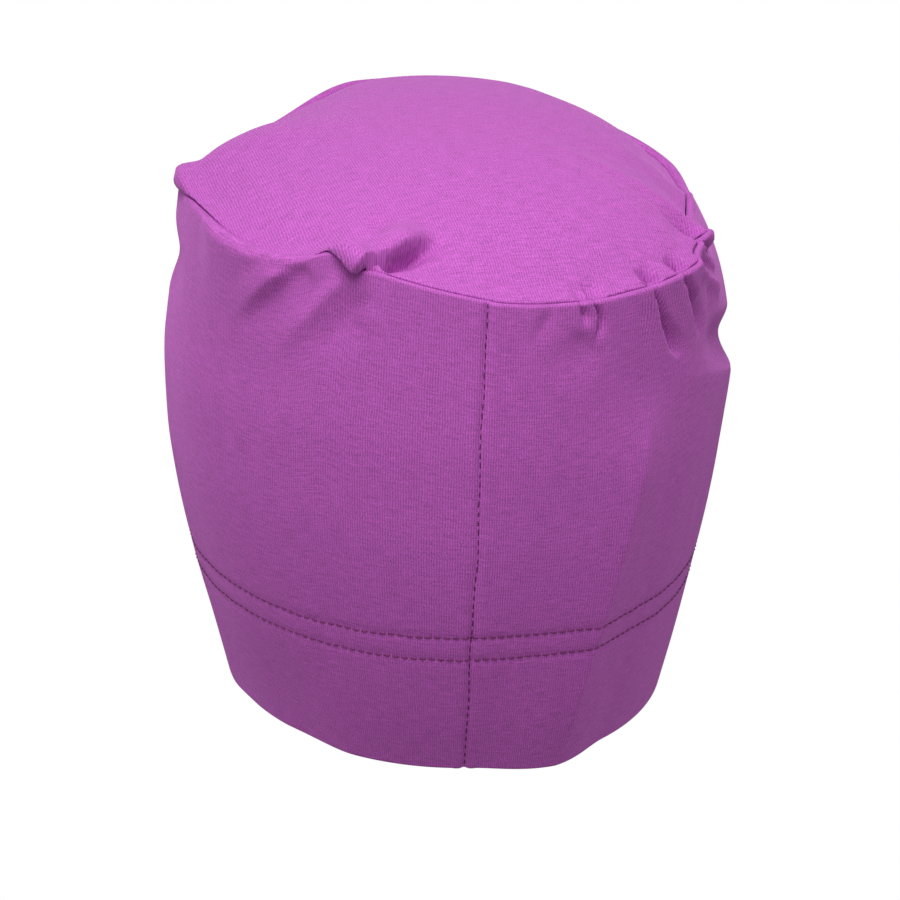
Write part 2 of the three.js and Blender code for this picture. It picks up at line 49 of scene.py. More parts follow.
# Driving sizes
CLOTH = 0.9                 # thickness of the cloth
GAP = 0.3                   # between layers that lie on each other
SEAM_GAP = 0.44             # between the panels where they meet
FOLD_RADIUS = CLOTH + GAP / 2    # of the hem's lower fold and of the tightest rolled edge
HEM_DEPTH = 58.0            # height of the cloth turned up inside
SEAM_ALLOWANCE = 6.0        # cloth beyond the crown seam, turned down inside
WORN_TILT = 8.0             # the hem sits higher at the forehead than at the nape
MM_PER_DEGREE = 1.75        # length along the wall for one degree of turn
FRONT_TAPER = 0.07          # the head is narrower towards the forehead
SEAM_OVAL = dict(side=92.0, back=103.0, front=103.0)
DRAWN_FROM = 0.74           # share of the height from which the crown seam draws the side panel in
STITCH_ROWS = (45.0, 53.2)  # heights of the two rows of hem stitches
STITCH_PITCH = 3.3
ROW_OFFSET = 0.37           # of a stitch, between the two rows
WALE = 0.85                 # width of one column of knit stitches
COURSE = 0.62               # height of one row of knit stitches
CROWN_GRAIN = 13.0          # degrees by which the crown's knit is turned from the front-back line

# Half sizes of the side panel at shares of its height, from the hem to the crown seam
WALL = table(
    "share left right back front",
    (0.00, 79.6, 78.0, 94.0, 93.0),
    (0.12, 85.0, 82.4, 99.5, 95.0),
    (0.26, 91.6, 87.0, 104.0, 98.0),
    (0.42, 97.5, 92.0, 107.5, 101.0),
    (0.53, 100.0, 94.5, 108.5, 103.0),
    (0.66, 100.8, 96.5, 108.5, 105.0),
    (0.80, 98.5, 96.0, 107.3, 106.5),
    (0.92, 96.5, 95.5, 106.0, 107.0),
    (1.00, 95.0, 95.0, 105.5, 106.0),
)

# The crown seam by turn: its height, the radius of the rolled edge outside it, how far it is drawn
# out, and how far the crown's cloth bulges out over it
SEAM = table(
    "turn height bead reach lap",
    (-160, 187.4, 2.2, -4, 0),
    (-135, 178.0, 2.4, -6, 0),
    (-112, 173.0, 2.0, -5, 0),
    (-98, 176.4, 1.8, -1, 0.8),
    (-88, 178.6, 1.5, 0, 2.2),
    (-78, 178.2, 1.5, 0, 2.4),
    (-68, 177.5, 1.6, 0, 1.2),
    (-60, 175.5, 3.0, 0, 0),
    (-50, 174.0, 3.4, 0, 0),
    (-42, 174.3, 2.8, 0, 0),
    (-37, 175.6, 2.0, 0, 0),
    (-33.5, 177.8, 1.4, 0, 0.6),
    (-31.5, 179.3, 1.2, 0, 1.6),
    (-29.5, 180.2, 1.2, 0, 2.0),
    (-27.5, 179.6, 1.2, 0, 2.0),
    (-25.5, 176.8, 1.2, 0, 2.0),
    (-23.5, 175.8, 1.2, 0, 2.0),
    (-20.5, 175.6, 1.1, 0, 1.2),
    (-17.5, 174.5, 1.1, 0, 0.5),
    (-8, 171.2, 1.1, 0, 0.5),
    (0, 168.5, 1.1, 0, 0.5),
    (4, 167.1, 1.1, 0, 0.5),
    (13, 166.0, 1.1, 0, 0.5),
    (20, 165.7, 1.2, 0.4, 0.4),
    (26, 165.6, 1.3, 0.5, 0.4),
    (31, 166.2, 1.3, 1.2, 0.4),
    (36, 166.9, 1.2, 2.4, 0.4),
    (43, 168.0, 1.2, 3.3, 0.4),
    (50, 169.6, 1.2, 3.9, 0.4),
    (52, 171.0, 1.2, 0.7, 0),
    (56, 172.6, 1.2, -1.4, 0),
    (58, 172.2, 1.2, -3.4, 0),
    (62.5, 173.7, 1.2, -1.6, 0),
    (66, 172.0, 1.3, -6, 0),
    (72, 170.5, 1.4, -11, 0),
    (80, 170.3, 1.4, -12.8, 0),
    (89, 172.6, 1.3, -12, 0),
    (97, 170.5, 1.6, -11, 0),
    (112, 173.0, 2.2, -8, 0),
    (135, 177.2, 2.4, -5, 0),
    (160, 185.6, 2.4, -4, 0),
)

# The crown's dome stands on a sloping plane, and rises over it by a share of this height
DOME_RISE = 26.0
DOME_PLANE = dict(middle=174.0, front_up=8.0, left_up=2.0)
DOME = table(
    "out rise",
    (0.00, 1.00),
    (0.25, 0.97),
    (0.50, 0.86),
    (0.70, 0.68),
    (0.85, 0.42),
    (1.00, 0.00),
)
DOME_STARTS = 0.93          # share of the way from the middle to the seam where the edge meets it

# Gathers pull the crown seam in and run down the side panel as pleats, to a turn and a height. A pleat
# is steep at its left, where the cloth laps over it, and slow at its right, and it is widest where it
# ends. The crown sinks into a pocket above it.
PLEATS = table(
    "turn to_turn to_height bow left right grow pull depth lap pocket",
    (14.0, 10.0, 152, 0.0, 4.0, 4.0, 1.4, 0.3, 0.8, 0.0, 0.0),
    (19.8, 21.4, 158, 0.0, 1.6, 2.2, 1.8, 0.7, 2.2, 0.4, 1.0),
    (22.8, 23.2, 152, -1.4, 1.2, 2.4, 2.0, 1.4, 4.2, 0.9, 2.6),
    (36.0, 47.5, 139, 4.2, 1.2, 3.4, 2.6, 2.6, 7.8, 2.8, 7.0),
    (44.0, 55.5, 143, 2.4, 1.2, 3.8, 2.6, 2.6, 7.3, 2.6, 6.2),
    (57.0, 70.0, 155, 0.0, 1.2, 5.0, 1.8, 1.8, 6.5, 2.2, 4.4),
)
PLEAT_CREST = 0.6           # how sharp a pleat's bottom is on its slow side
LIP = 5.0                   # width of the cloth that a pleat draws over itself
RIM_LAP = 0.5               # share of a pleat's lap at the crown seam
NIP_TIGHTENS = 0.16         # share of the rolled edge's radius for each millimetre of pull
NIP_LOWERS = 0.3            # how far the seam sinks for each millimetre of pull
POCKET = dict(length=8.0, width=4.2, turn_on=1.4, crest=0.4, grow=1.2, fade_out=0.8)

# Shares of a pleat's length at which its depth and its lap are full, and from which it fades
PLEAT_RUN = dict(full_depth=0.3, full_lap=0.15, fades_from=0.35)

RIM_FROM = 0.975            # share of the side panel's height where it starts to join the rolled edge

# Folds of the side panel, from one turn and height to another. Each spreads to the left and right of
# its line as seen from the back, grows wider along it, rises as a ridge or sinks as a dent, and fades
# over a share of its length at either end. It is round, or sharp where its crest is 1.
WALL_FOLDS = table(
    "turn height to_turn to_height bow left right grow rise crest fade_in fade_out",
    # the crease from the nape up to the right, with its shoulder, and the hem's flats
    (22.2, -4, 38, 138, 1.6, 34, 26, 1.0, 4.5, 0.9, 0.35, 0.25),
    (20.0, -12, 27, 48, 0, 36, 30, 1.0, 4.2, 0.2, 0.0, 0.85),
    (38, 137, 88, 113, 0, 16, 16, 1.0, 1.0, 0.8, 0.3, 0.2),
    (-44, -10, -46, 46, 0, 34, 30, 0.8, -1.9, 0.0, 0.0, 0.6),
    (-62, -10, -66, 30, 0, 26, 26, 0.8, -1.2, 0.0, 0.0, 0.6),
    # drag folds below the puff
    (-37, 178, -53, 150, 0, 7, 2.5, 1.5, 1.8, 0.3, 0.1, 0.6),
    (-34.5, 176, -50, 147, 0, 3, 10, 1.4, -1.5, 0.3, 0.1, 0.6),
    (-25, 177, -42, 142, 0, 5, 4, 1.5, 1.5, 0.2, 0.2, 0.6),
    (-21, 172, -34, 142, 0, 5, 9, 1.4, -1.2, 0.2, 0.3, 0.6),
    (-20, 166, -24, 158, 0, 6, 6, 1.0, 0.7, 0.0, 0.4, 0.4),
    # below the gathers, and the ridges that run down from the right shoulder
    (23, 157, 15, 138, 0, 9, 9, 1.6, -1.4, 0.0, 0.3, 0.8),
    (50.5, 170, 67, 151, 0, 4.5, 2.0, 1.3, 1.6, 0.7, 0.1, 0.4),
    (54, 170, 68, 154, 0, 2.6, 4.0, 1.2, -2.0, 0.3, 0.1, 0.5),
    # hollows at the sides
    (54, 142, 98, 120, 0, 11, 9, 1.2, -4.0, 0.0, 0.25, 0.3),
    (-118, 156, -72, 152, 0, 14, 14, 1.0, -2.4, 0.0, 0.3, 0.3),
)

# Folds of the crown, from one place to another, with their left and right as seen from above, and
# how far they lean over to their left
CROWN_FOLDS = table(
    "x y to_x to_y left right grow rise crest fade_in fade_out lean",
    # the puff at the left of the back and the dent beside it, a swelling and a dent at the sides
    (42, 95, 14, 77, 6.0, 10, 1.1, 5.0, 0.0, 0.0, 0.4, 3.5),
    (36, 96, 9, 81, 5.5, 3.5, 1.2, -6.5, 0.2, 0.0, 0.5, 0.0),
    (96, 6, 40, -20, 26, 22, 1.3, 3.6, 0.0, 0.0, 0.7, 0.0),
    (-80, 50, -62, 44, 6, 6, 1.6, -4.5, 0.3, 0.0, 0.8, 0.0),
)

# The centre-back seam's turn at the hem and its lean up to the crown seam, and how it wavers
BACK_SEAM = dict(turn=-0.9, lean=1.8, height=170.0)
BACK_SEAM_WAVES = ((0.18, 11.0, 0.0), (0.10, 4.3, 1.0))

# How the threads draw the cloth in: the deepest pull, how much of it varies along each stitch, its
# width and how sharp it is. A low ridge runs on both sides of the centre-back seam.
HEM_PULL = dict(depth=0.42, varies=0.25, width=2.6, crest=0.5)
BACK_PULL = dict(depth=0.9, varies=0.2, width=1.9, crest=0.7)
BACK_RIDGE = dict(rise=0.25, away=3.2, width=2.4)

# The crown's edge rests on the rolled edge, further out with more lap up to full_rest. It leaves it
# upwards, and outwards with more lap, and arrives at the dome along its slope.
CROWN_EDGE = dict(rest=1.5, full_rest=0.6, out_by_lap=1.8, up=0.8, up_by_lap=0.9, arrive=3.0)
CROWN_FREE_FROM = 0.2       # share of the crown's edge over which its folds start
SLOPE_OVER = 0.03           # share of the way to the middle over which that slope is taken
GATHERED_POWER = 16         # how close to the seam the dome takes up the gathers
SLOPING_POWER = 5           # how close to the seam the dome takes up the seam's height

# The strip of the two seam edges inside, between two heights and two turns, and how it waves
INNER_STRIP = dict(foot=62.0, top=156.0, start=-3.5, end=2.5, thickness=1.7, wave=0.12)

# Sewing thread: its radius, how far it stands out from the cloth and how deep it dips at its ends
HEM_THREAD = dict(radius=0.27, stands=0.14, dips=0.32)
SEAM_THREAD = dict(radius=0.22, stands=0.10, dips=0.25)

# The rows of hem stitches waver a few times round the head, each stitch is a little off, and its
# ends lie a share of the pitch from the needle holes
HEM_ROWS = dict(waver=0.35, waves=5, scatter=0.14, hole=0.05)

# The dashes of thread in the centre-back seam, between two heights, as shares of the pitch
BACK_DASHES = dict(foot=1.5, top=167.0, shortest=0.62, longest=0.90, scatter=0.04)

# Columns of the mesh round the head, closest where the cloth is gathered and at the back seam
COLUMNS = table(
    "start end step",
    (-70, -15, 0.6),
    (-15, -2, 0.9),
    (-2, 2, 0.25),
    (2, 8, 0.8),
    (8, 18, 0.5),
    (18, 27, 0.3),
    (27, 34, 0.5),
    (34, 50, 0.25),
    (50, 55, 0.4),
    (55, 64, 0.28),
    (64, 100, 0.8),
    (100, 290, 1.7),
)

# Rows of the side panel's mesh by share of its height, closest at the stitches and below the seam
WALL_ROWS = table(
    "start end step",
    (0.0, 0.225, 0.018),
    (0.225, 0.335, 0.0055),
    (0.335, 0.70, 0.02),
    (0.70, 1.0, 0.0065),
)
DOME_ROWS = 56
DOME_ROWS_POWER = 1.25      # the dome's rows lie closer together near its edge

# Unevenness of the knit: how often it changes in a millimetre along u and v
KNIT_NOISE = table(
    "name u v detail",
    ("wide", 0.12, 0.12, 2),
    ("narrow", 0.55, 0.55, 2),
    ("yarn", 0.9, 2.2, 3),
    ("slub", 0.16, 1.5, 2),
    ("fuzz", 1.7, 1.7, 1),
)
WALE_WANDER = dict(wide=0.6, narrow=0.8)    # how far the ridges of knit stray, in millimetres
LOOP_LEAN = 2.2             # how steep the two sides of a knit stitch are

# How each feature of the knit lightens the jersey's colour, from a darker start
KNIT_SHADE = dict(ridge=0.44, loop=0.16, yarn=0.80, slub=0.80, fuzz=0.80)
DARKEST = -0.345
JERSEY_COLOUR = (0.42, 0.088, 0.41, 1)
SHEEN_COLOUR = (0.95, 0.35, 0.95, 1)
KNIT_RELIEF = dict(ridge=0.75, loop=0.25, strength=0.55, metres=0.00025)
THREAD_COLOURS = table(
    "name dark light",
    ("hem_thread", (0.12, 0.018, 0.085, 1), (0.24, 0.045, 0.17, 1)),
    ("seam_thread", (0.07, 0.010, 0.055, 1), (0.14, 0.026, 0.105, 1)),
)
TWIST = 1500                # how often the thread's colour changes in a metre

# The camera looks at its target from an azimuth counted from the forehead, in the turban's own frame
CAMERA = dict(azimuth=175.0, elevation=21.0, roll=1.3, distance=1100.0, target=(0.0, 0.0, 79.0))
PICTURE = 900               # pixels across the picture
PIXELS_PER_MM = 2.81        # in the picture, at the camera's target
SENSOR = 36.0               # width of the camera's sensor

# Square lights that face the turban, in watts and metres. The azimuth is counted from behind it,
# towards -X.
LIGHTS = table(
    "name energy size azimuth elevation distance target",
    ("key", 7.4, 0.6, -30, 62, 1.5, (0, 0.02, 0.1)),
    ("front", 3.7, 0.9, 180, 28, 1.5, (0, 0.02, 0.1)),
    ("behind", 1.9, 0.3, -8, 43, 0.56, (0, 0.08, 0.13)),
    ("left", 5.0, 0.9, -112, 2, 1.5, (0, 0.02, 0.1)),
    ("right", 5.0, 0.9, 106, 8, 1.5, (0, 0.02, 0.1)),
)

# The white surround's light from below and above, and the heights on a unit sphere where it changes
SURROUND = dict(below=0.02, above=0.46, lowest=-0.6, highest=0.8)
FLOOR = dict(radius=2.4, height=-1.2, grey=0.82)


def steps(rows):
    """Even steps over each stretch of a table."""
    counts = [round((row["end"] - row["start"]) / row["step"]) for row in rows]
    return np.concatenate([
        np.linspace(row["start"], row["end"], count, endpoint=False)
        for row, count in zip(rows, counts)
    ])


def wall_shares():
    """Shares of the side panel's height at which its mesh has rows."""
    return np.append(steps(WALL_ROWS), 1.0)


def curve(rows, key, value, x, period=0):
    """A curve through one column of a table, without overshoot; a period closes it on itself."""
    knots = np.array([row[key] for row in rows], float)
    heights = np.array([row[value] for row in rows], float)
    if period:
        knots = np.concatenate([knots - period, knots, knots + period])
        heights = np.tile(heights, 3)
    span = np.diff(knots)
    slope = np.diff(heights) / span
    tangent = np.concatenate([slope[:1], np.zeros(len(knots) - 2), slope[-1:]])
    same = slope[:-1] * slope[1:] > 0
    before = 2 * span[1:] + span[:-1]
    after = span[1:] + 2 * span[:-1]
    with np.errstate(divide="ignore", invalid="ignore"):
        middle = (before + after) / (before / slope[:-1] + after / slope[1:])
    tangent[1:-1] = np.where(same, middle, 0)
    x = np.asarray(x, float)
    i = np.clip(np.searchsorted(knots, x) - 1, 0, len(span) - 1)
    t = (x - knots[i]) / span[i]
    rest = 1 - t
    return ((1 + 2 * t) * rest * rest * heights[i] + t * rest * rest * span[i] * tangent[i]
            + t * t * (3 - 2 * t) * heights[i + 1] - t * t * rest * span[i] * tangent[i + 1])


def smooth_step(start, end, x):
    """Rises from 0 to 1 between two values."""
    t = np.clip((x - start) / (end - start), 0, 1)
    return t * t * (3 - 2 * t)


def bump(distance, crest=0.0):
    """1 in the middle and 0 from 1 outwards, round or with a sharp crest."""
    d = np.minimum(np.abs(distance), 1)
    return (1 - crest) * (1 - d * d) ** 2 + crest * (1 - d) ** 2


def turn_gap(start, end):
    """The shortest way round from one turn to another."""
    return (end - start + 180) % 360 - 180


def oval(turn, half):
    """Points of an egg-shaped oval, seen from above."""
    u = np.radians(turn)
    taper = 1 - FRONT_TAPER * np.maximum(0, -np.cos(u)) ** 1.5
    x = -np.where(np.sin(u) > 0, half["right"], half["left"]) * np.sin(u) * taper
    y = np.where(np.cos(u) > 0, half["back"], half["front"]) * np.cos(u)
    return np.stack(np.broadcast_arrays(x, y), -1)


def lift(flat, z):
    """Points seen from above, given their heights."""
    return np.concatenate([flat, np.broadcast_to(z, flat.shape[:-1])[..., None]], -1)


def normals(grid):
    """Normals of a grid whose first index goes round the head."""
    across = np.roll(grid, -1, 0) - np.roll(grid, 1, 0)
    along = np.gradient(grid, axis=1)
    n = np.cross(across, along)
    return n / np.maximum(np.linalg.norm(n, axis=-1, keepdims=True), 1e-9)


def pleat_depth(pleat, side):
    """1 along a pleat's bottom and 0 past its steep left and its slow right."""
    return np.where(side > 0, bump(side / pleat["right"], PLEAT_CREST), bump(side / pleat["left"]))


def nipped_bead(bead, nip):
    """The rolled edge is tighter where a gather pulls it in."""
    return np.maximum(bead * (1 - NIP_TIGHTENS * nip), FOLD_RADIUS)


def pleat_lip(pleat, side):
    """1 at the edge of the cloth that laps over a pleat, and 0 at its bottom and away from it."""
    left = pleat["left"]
    return smooth_step(-left - LIP, -left, side) * (1 - smooth_step(-left, 0, side))


def seam_ring(turn):
    """The crown seam at each turn: its points, the level directions outwards, and its sizes."""
    nips = [
        pleat["pull"] * pleat_depth(pleat, turn_gap(pleat["turn"], turn) * MM_PER_DEGREE)
        for pleat in PLEATS
    ]
    nip = np.max(nips, axis=0)
    lap = sum(
        RIM_LAP * pleat["lap"] * pleat_lip(pleat, turn_gap(pleat["turn"], turn) * MM_PER_DEGREE)
        for pleat in PLEATS
    )
    reach = curve(SEAM, "turn", "reach", turn, 360)
    u = np.radians(turn)
    out = np.stack([-np.sin(u) / SEAM_OVAL["side"], np.cos(u) / SEAM_OVAL["back"]], -1)
    out /= np.linalg.norm(out, axis=-1, keepdims=True)
    beside = np.stack([-out[:, 1], out[:, 0]], -1)
    side = SEAM_OVAL["side"] + reach
    half = dict(left=side, right=side, back=SEAM_OVAL["back"] + reach, front=SEAM_OVAL["front"] + reach)
    plain = oval(turn, half)
    height = curve(SEAM, "turn", "height", turn, 360)
    bead = curve(SEAM, "turn", "bead", turn, 360)
    return dict(
        smooth=lift(plain, height),
        point=lift(plain - out * nip[:, None] + beside * lap[:, None], height - NIP_LOWERS * nip),
        out=np.concatenate([out, np.zeros_like(out[:, :1])], -1),
        full_bead=bead,
        bead=nipped_bead(bead, nip),
        lap=curve(SEAM, "turn", "lap", turn, 360),
    )


def fold_shape(fold, across, up, run_across, run_up):
    """How strong a fold is at places given from its start, and where they lie across it."""
    length = math.hypot(run_across, run_up)
    t = (across * run_across + up * run_up) / length ** 2
    side = (across * run_up - up * run_across) / length * np.sign(run_up)
    side += fold.get("bow", 0) * 4 * np.clip(t, 0, 1) * (1 - np.clip(t, 0, 1))
    width = np.where(side > 0, fold["right"], fold["left"])
    width = width * (1 + (fold["grow"] - 1) * np.clip(t, 0, 1))
    beyond = np.maximum(np.maximum(-t, t - 1), 0) * length
    along = np.ones_like(t)
    if fold["fade_in"]:
        along *= smooth_step(0, fold["fade_in"], t)
    if fold["fade_out"]:
        along *= 1 - smooth_step(1 - fold["fade_out"], 1, t)
    return along * bump(np.hypot(side, beyond) / width, fold["crest"])


def fold_wall(grid, turn):
    """How far the side panel's folds move it out."""
    move = np.zeros(grid.shape[:2])
    for fold in WALL_FOLDS:
        move += fold["rise"] * fold_shape(
            fold,
            turn_gap(fold["turn"], turn)[:, None] * MM_PER_DEGREE + np.zeros_like(move),
            grid[..., 2] - fold["height"],
            (fold["to_turn"] - fold["turn"]) * MM_PER_DEGREE,
            fold["to_height"] - fold["height"],
        )
    return move


def pleat_wall(grid, turn):
    """How deep the pleats sink the side panel, and how far they draw it over to the right."""
    sink = np.zeros(grid.shape[:2])
    shift = np.zeros(grid.shape[:2])
    for pleat in PLEATS:
        top = curve(SEAM, "turn", "height", pleat["turn"], 360)
        bead = curve(SEAM, "turn", "bead", pleat["turn"], 360)
        rim = pleat["pull"] + 2 * (bead - nipped_bead(bead, pleat["pull"]))
        across = turn_gap(pleat["turn"], turn)[:, None] * MM_PER_DEGREE
        up = grid[..., 2] - top
        run_across = (pleat["to_turn"] - pleat["turn"]) * MM_PER_DEGREE
        run_up = pleat["to_height"] - top
        length = math.hypot(run_across, run_up)
        t = np.clip((across * run_across + up * run_up) / length ** 2, 0, 1)
        side = (up * run_across - across * run_up) / length + pleat["bow"] * 4 * t * (1 - t)
        side /= 1 + (pleat["grow"] - 1) * t
        fade = 1 - smooth_step(PLEAT_RUN["fades_from"], 1, t)
        depth = rim + (pleat["depth"] - rim) * smooth_step(0, PLEAT_RUN["full_depth"], t)
        sink += depth * fade * pleat_depth(pleat, side)
        lap = pleat["lap"] * (RIM_LAP + (1 - RIM_LAP) * smooth_step(0, PLEAT_RUN["full_lap"], t))
        shift += lap * pleat_lip(pleat, side) * fade
    return sink, shift


def wall_face(turn, shares, ring):
    """The outer face of the side panel from the hem to the seam, with its folds and pleats."""
    half = {
        side: curve(WALL, "share", side, shares)[None, :]
        for side in ("left", "right", "back", "front")
    }
    top = {side: half_size[0, -1] for side, half_size in half.items()}
    plain_foot = ring["smooth"] + 2 * ring["full_bead"][:, None] * ring["out"]
    drawn = plain_foot[:, :2] - oval(turn, top)
    near_seam = np.clip((shares - DRAWN_FROM) / (1 - DRAWN_FROM), 0, 1) ** 2
    flat = oval(turn[:, None], half) + drawn[:, None] * near_seam[None, :, None]
    z = FOLD_RADIUS + (ring["point"][:, 2:] - FOLD_RADIUS) * shares
    plain = lift(flat, z)
    out = ring["out"][:, None]
    beside = np.stack([-out[..., 1], out[..., 0], out[..., 2]], -1)
    sink, shift = pleat_wall(plain, turn)
    face = (plain + normals(plain) * fold_wall(plain, turn)[..., None]
            - out * sink[..., None] + beside * shift[..., None])
    # the top edge meets the rolled edge
    foot = ring["point"] + 2 * ring["bead"][:, None] * ring["out"]
    return face + (foot - face[:, -1])[:, None] * smooth_step(RIM_FROM, 1, shares)[None, :, None]


def hanging_in(wall, shares, ring, down):
    """How far in the seam allowance hangs at some way down, so that it stays inside the side panel."""
    share = 1 - down / ring["point"][:, 2]
    row = np.interp(share, shares, np.arange(len(shares)))
    low = np.minimum(row.astype(int), len(shares) - 2)
    column = np.arange(len(wall))
    part = (row - low)[:, None]
    beside = wall[column, low] * (1 - part) + wall[column, low + 1] * part
    distance = ((beside - ring["point"]) * ring["out"]).sum(-1)
    return np.maximum(2 * CLOTH + GAP - distance, 0)


def allowance_rows(turn, ring, edge, shares):
    """Seam allowance below an edge of cloth: its points half way down and at its end."""
    wall = wall_face(turn, shares, ring)
    rows = []
    for down in (SEAM_ALLOWANCE / 2, SEAM_ALLOWANCE):
        point = edge - ring["out"] * hanging_in(wall, shares, ring, down)[:, None]
        rows.append(np.concatenate([point[:, :2], ring["point"][:, 2:] - down], -1))
    return np.stack(rows, 1)


def side_panel_face(turn, shares, hem_rows=14, fold_rows=6, bead_rows=12):
    """The side panel's whole face: up from the turned-in hem, and over into the seam."""
    ring = seam_ring(turn)
    wall = stitched(wall_face(turn, shares, ring), turn)
    n = normals(wall)
    height = wall[:, :, 2].mean(0)
    hem_heights = np.linspace(HEM_DEPTH, 0, hem_rows, endpoint=False)
    row = np.interp(hem_heights, height, np.arange(len(height)))
    low = row.astype(int)
    part = (row - low)[None, :, None]
    hem = (wall[:, low] - 2 * FOLD_RADIUS * n[:, low]) * (1 - part)
    hem += (wall[:, low + 1] - 2 * FOLD_RADIUS * n[:, low + 1]) * part
    outwards = n[:, 0] * (1, 1, 0)
    outwards /= np.linalg.norm(outwards, axis=-1, keepdims=True)
    angle = np.pi * (1 - np.arange(fold_rows) / fold_rows)[None, :, None]
    fold = (wall[:, :1] + FOLD_RADIUS * (np.cos(angle) - 1) * outwards[:, None]
            - FOLD_RADIUS * np.sin(angle) * np.array((0, 0, 1)))
    width = np.linalg.norm(((wall[:, -1] - ring["point"]) * (1, 1, 0)), axis=-1)[:, None, None]
    angle = np.pi * (np.arange(1, bead_rows + 1) / bead_rows)[None, :, None]
    bead = (ring["point"][:, None] + width / 2 * (1 + np.cos(angle)) * ring["out"][:, None]
            + ring["bead"][:, None, None] * np.sin(angle) * np.array((0, 0, 1)))
    return np.concatenate([hem, fold, wall, bead, allowance_rows(turn, ring, ring["point"], shares)], 1)


def back_seam_turn(height):
    """The centre-back seam runs a little askew, and isn't quite straight."""
    turn = BACK_SEAM["turn"] + BACK_SEAM["lean"] * height / BACK_SEAM["height"]
    for size, length, start in BACK_SEAM_WAVES:
        turn += size * np.sin(height / length + start)
    return turn


def stitch_pull(pull, stitches):
    """How far a seam draws the cloth in, some number of stitches along it."""
    varies = pull["varies"]
    return pull["depth"] * (1 - varies + varies * np.cos(2 * np.pi * stitches))


def stitched(wall, turn):
    """The cloth is drawn in under the hem's stitches and along the centre-back seam."""
    z = wall[..., 2]
    along = turn[:, None] * MM_PER_DEGREE
    depth = np.zeros_like(z)
    for row, height in enumerate(STITCH_ROWS):
        pull = stitch_pull(HEM_PULL, along / STITCH_PITCH + ROW_OFFSET * row)
        depth += pull * bump((z - height) / HEM_PULL["width"], HEM_PULL["crest"])
    from_seam = (turn[:, None] - back_seam_turn(z)) * MM_PER_DEGREE
    pull = stitch_pull(BACK_PULL, z / STITCH_PITCH)
    depth += pull * bump(from_seam / BACK_PULL["width"], BACK_PULL["crest"])
    away = np.abs(from_seam) - BACK_RIDGE["away"]
    depth -= BACK_RIDGE["rise"] * bump(away / BACK_RIDGE["width"])
    return wall - normals(wall) * depth[..., None]


def dome_plane(flat):
    """Heights of the plane that the dome stands on."""
    return (DOME_PLANE["middle"] - DOME_PLANE["front_up"] * flat[..., 1] / SEAM_OVAL["back"]
            + DOME_PLANE["left_up"] * flat[..., 0] / SEAM_OVAL["side"])


def dome(ring, out):
    """The crown at shares of the way from its middle to the seam."""
    near_seam = (out ** GATHERED_POWER)[None, :, None]
    rim = ring["smooth"][:, None] * (1 - near_seam) + ring["point"][:, None] * near_seam
    rim = rim - SEAM_GAP * ring["out"][:, None]
    flat = rim[..., :2] * out[None, :, None]
    rim_lift = (rim[..., 2] - dome_plane(rim)) * out ** SLOPING_POWER
    return lift(flat, dome_plane(flat) + DOME_RISE * curve(DOME, "out", "rise", out) + rim_lift)


def pockets():
    """The crown's dents above the pleats, in the form of its other folds."""
    rows = []
    for pleat in PLEATS:
        ring = seam_ring(np.array((pleat["turn"] + POCKET["turn_on"],)))
        start = ring["smooth"][0]
        end = start - POCKET["length"] * ring["out"][0]
        rows.append(dict(
            x=start[0], y=start[1], to_x=end[0], to_y=end[1],
            left=POCKET["width"], right=POCKET["width"], grow=POCKET["grow"],
            rise=-pleat["pocket"], crest=POCKET["crest"], fade_in=0, fade_out=POCKET["fade_out"], lean=0,
        ))
    return rows


def crown_face(turn, dome_rows=DOME_ROWS, edge_rows=16):
    """The crown's whole face: up from its allowance, over the seam and in to the middle."""
    ring = seam_ring(turn)
    up = np.array((0, 0, 1.0))
    risen = np.minimum(ring["bead"], 1) + (ring["bead"] - 1) * np.clip(ring["lap"], 0, 1)
    inside = ring["point"] - SEAM_GAP * ring["out"]
    resting = CROWN_EDGE["rest"] * np.clip(ring["lap"], 0, CROWN_EDGE["full_rest"])[:, None]
    start = inside + resting * ring["out"] + up * risen[:, None]
    inner = dome(ring, np.array((DOME_STARTS, DOME_STARTS - SLOPE_OVER)))
    end = inner[:, 0]
    outwards = end - inner[:, 1]
    outwards /= np.linalg.norm(outwards, axis=-1, keepdims=True)
    lap = ring["lap"][:, None]
    leave = start + CROWN_EDGE["out_by_lap"] * lap * ring["out"]
    leave += (CROWN_EDGE["up"] + CROWN_EDGE["up_by_lap"] * lap) * up
    arrive = end + (CROWN_EDGE["arrive"] + lap) * outwards
    t = (np.arange(edge_rows) / edge_rows)[None, :, None]
    edge = ((1 - t) ** 3 * start[:, None] + 3 * (1 - t) ** 2 * t * leave[:, None]
            + 3 * (1 - t) * t * t * arrive[:, None] + t ** 3 * end[:, None])
    shares = DOME_STARTS * (1 - (np.arange(dome_rows) / dome_rows) ** DOME_ROWS_POWER)
    allowance = allowance_rows(turn, ring, inside, wall_shares())[:, ::-1]
    grid = np.concatenate([allowance, edge, dome(ring, shares)], 1)
    free = np.concatenate([
        np.zeros(2),
        smooth_step(0, CROWN_FREE_FROM, np.arange(edge_rows) / edge_rows),
        np.ones(dome_rows),
    ])
    move = np.zeros(grid.shape[:2])
    lean = np.zeros(grid.shape)
    for fold in CROWN_FOLDS + pockets():
        run_x = fold["to_x"] - fold["x"]
        run_y = fold["to_y"] - fold["y"]
        shape = fold_shape(fold, grid[..., 0] - fold["x"], grid[..., 1] - fold["y"], run_x, run_y)
        move += fold["rise"] * shape
        to_left = np.array((-run_y, run_x, 0)) * np.sign(run_y) / math.hypot(run_x, run_y)
        lean += fold["lean"] * shape[..., None] * to_left
    return grid + normals(grid) * (move * free)[..., None] + lean * free[:, None]


